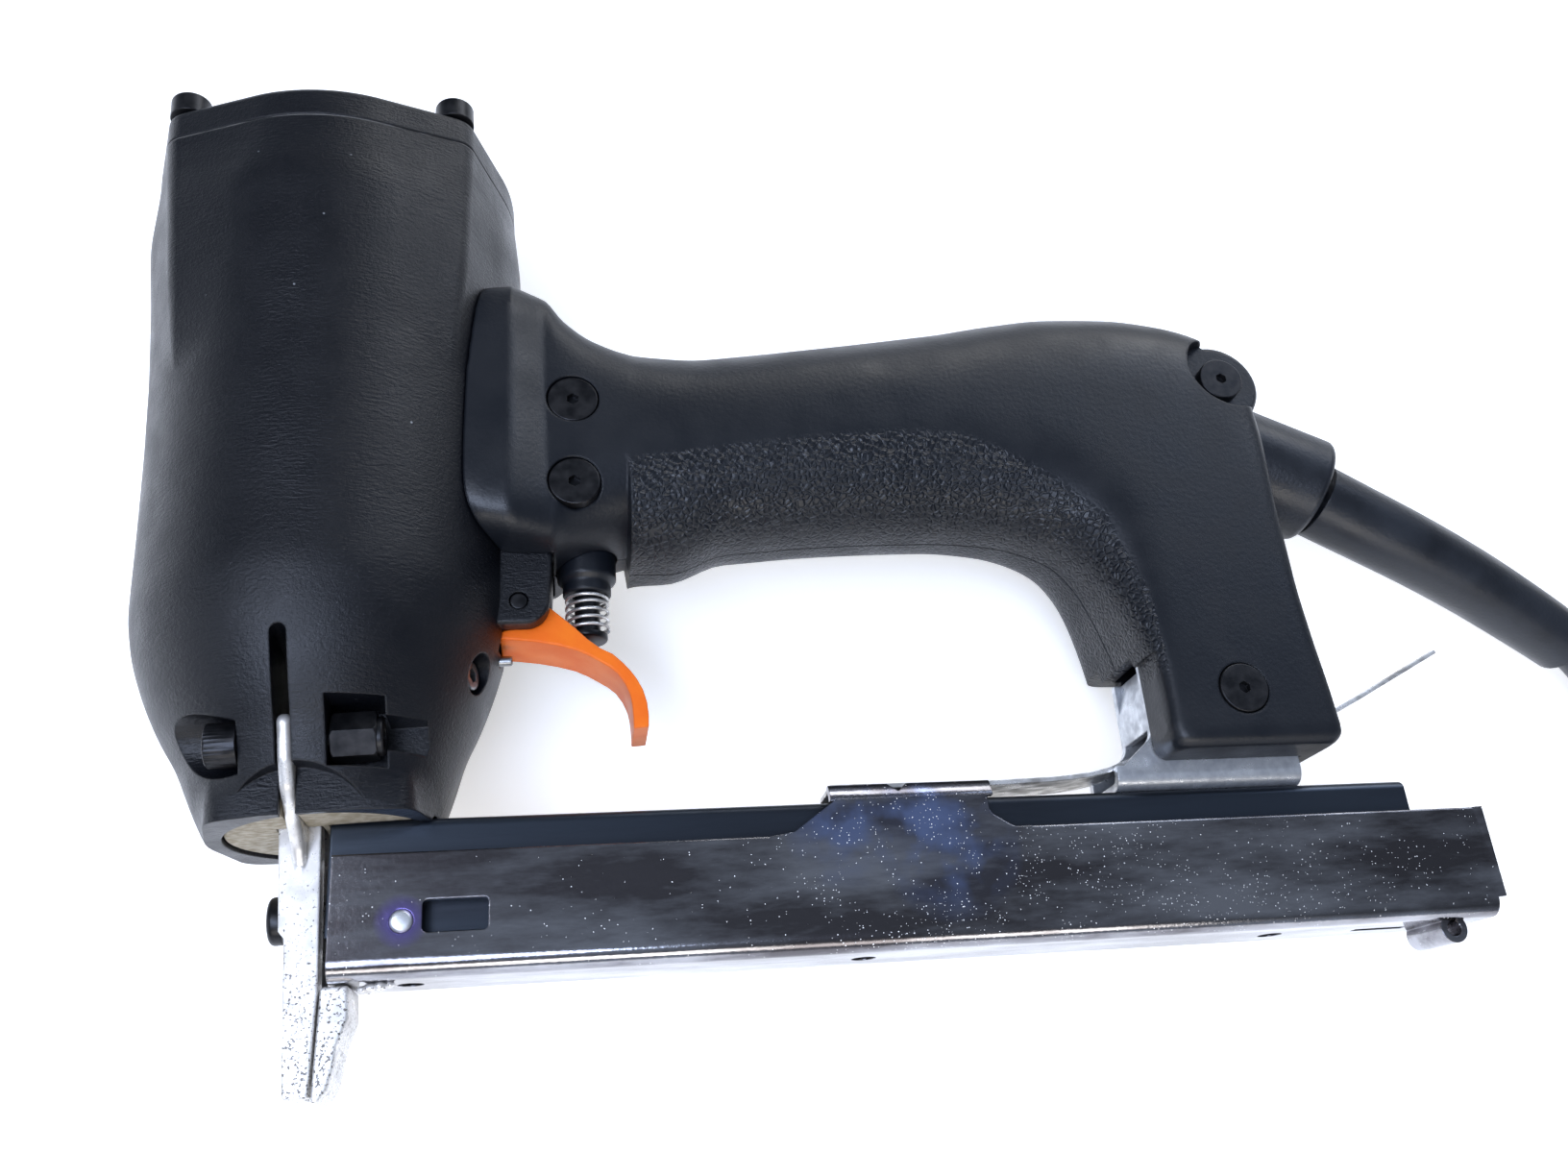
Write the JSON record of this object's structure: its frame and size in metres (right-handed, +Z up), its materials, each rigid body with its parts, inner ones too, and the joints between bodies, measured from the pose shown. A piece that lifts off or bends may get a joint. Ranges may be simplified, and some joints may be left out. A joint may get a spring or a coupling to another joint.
{
  "type": "electric carpet stapler",
  "caption": "Hand-held electric carpet stapler with a black cast solenoid head, grip handle, orange trigger lever, slide-back staple magazine and mains cord with its plug.",
  "frame": {"origin": "on the table, under the middle of the tool without its cord, which lies on its side", "axes": "+X to the tool's rear, along the magazine; +Y to the head's cap; +Z up from the table, across the tool"},
  "size_m": [0.4463, 0.1892, 0.067],
  "materials": {
    "black_casting": "satin black paint on the cast head and cap",
    "black_nylon": "smooth moulding, finely stippled on the grip",
    "black_oxide": "black oxide on the screws",
    "orange_plastic": "satin orange moulding",
    "nickel_plate": "bright nickel plate",
    "zinc_plate": "mottled zinc plate",
    "spring_steel": "bright spring steel",
    "tool_steel": "ground steel",
    "satin_black_steel": "blued steel rail",
    "black_rubber": "matt rubber and cord jacket",
    "beige_fibre": "vulcanised fibre",
    "copper_wire": "enamelled copper winding",
    "white_nylon": "nylon bobbin",
    "board_green": "circuit board with its parts",
    "brass": "plug blades and ground pin"
  },
  "bodies": {
    "frame": {"head_housing": "black_casting", "head_cap": "black_casting", "handle_near_half": "black_nylon", "handle_far_half": "black_nylon", "trigger_switch": "black_nylon", "cap_screw_1": "black_oxide", "cap_screw_2": "black_oxide", "cap_screw_3": "black_oxide", "cap_screw_4": "black_oxide", "clamp_bolt_near": "black_oxide", "clamp_bolt_far": "black_oxide", "clamp_nut_near": "black_oxide", "clamp_nut_far": "black_oxide", "nose_screw": "black_oxide", "trigger_pin": "black_oxide", "handle_screw_1": "black_oxide", "handle_screw_2": "black_oxide", "handle_screw_3": "black_oxide", "handle_screw_4": "black_oxide", "nose_front_plate": "nickel_plate", "core_bracket": "zinc_plate", "bracket_rivet_1": "zinc_plate", "bracket_rivet_2": "zinc_plate", "handle_nut_1": "zinc_plate", "handle_nut_2": "zinc_plate", "handle_nut_3": "zinc_plate", "handle_nut_4": "zinc_plate", "driver_return_spring": "spring_steel", "plunger_spring": "spring_steel", "solenoid_yoke": "tool_steel", "rear_set_screw": "tool_steel", "trigger_stop_pin": "tool_steel", "magazine_rail": "satin_black_steel", "cord_gland": "black_rubber", "relief_sleeve": "black_rubber", "power_cord": "black_rubber", "cord_coil": "black_rubber", "plug_body": "black_rubber", "top_bumper": "black_rubber", "bottom_bumper": "beige_fibre", "coil_winding": "copper_wire", "coil_bobbin": "white_nylon", "timer_board": "board_green", "plug_blade_near": "brass", "plug_blade_far": "brass", "plug_ground_pin": "brass"},
    "driver": {"plunger_armature": "tool_steel", "driver_blade": "spring_steel", "driver_pin": "tool_steel"},
    "trigger_lever": {"trigger": "orange_plastic"},
    "switch_rod": {"switch_plunger": "black_oxide"},
    "magazine": {"magazine_channel": "nickel_plate", "rear_nose_plate": "nickel_plate", "channel_rivet_near": "nickel_plate", "channel_rivet_far": "nickel_plate", "staple_core": "tool_steel", "pusher_spring": "spring_steel"},
    "pusher": {"staple_pusher": "black_nylon"},
    "latch": {"release_strip": "spring_steel"}
  },
  "joints": [
    {"name": "trigger_pivot", "type": "hinge", "parent": "frame", "child": "trigger_lever", "pos_m": [-0.05286, -0.00822, 0.0332], "axis": [0, 0, 1], "range_deg": [0, 18], "stiffness_Nm_per_rad": 0.35, "springref_deg": -8.59},
    {"name": "switch_slide", "type": "slide", "parent": "frame", "child": "switch_rod", "axis": [0, 1, 0], "range_m": [0, 0.0033], "stiffness_N_per_m": 1, "springref_m": -0.002, "deforming": ["plunger_spring"]},
    {"name": "driver_slide", "type": "slide", "parent": "frame", "child": "driver", "axis": [0.0349, -0.9994, 0], "range_m": [0, 0.03], "stiffness_N_per_m": 500, "springref_m": -0.01, "deforming": ["driver_return_spring"]},
    {"name": "magazine_slide", "type": "slide", "parent": "frame", "child": "magazine", "axis": [1, 0, 0], "range_m": [0, 0.11]},
    {"name": "pusher_slide", "type": "slide", "parent": "magazine", "child": "pusher", "axis": [1, 0, 0], "range_m": [0, 0.14], "stiffness_N_per_m": 30, "springref_m": -0.06, "deforming": ["pusher_spring"]},
    {"name": "latch_pivot", "type": "hinge", "parent": "frame", "child": "latch", "pos_m": [0.06674, -0.03672, 0.0332], "axis": [0, 0, -1], "range_deg": [0, 3], "stiffness_Nm_per_rad": 3, "springref_deg": -1.15}
  ],
  "couplings": [
    {"joint": "switch_slide", "follows": "trigger_pivot", "m_per_rad": 0.01018}
  ]
}
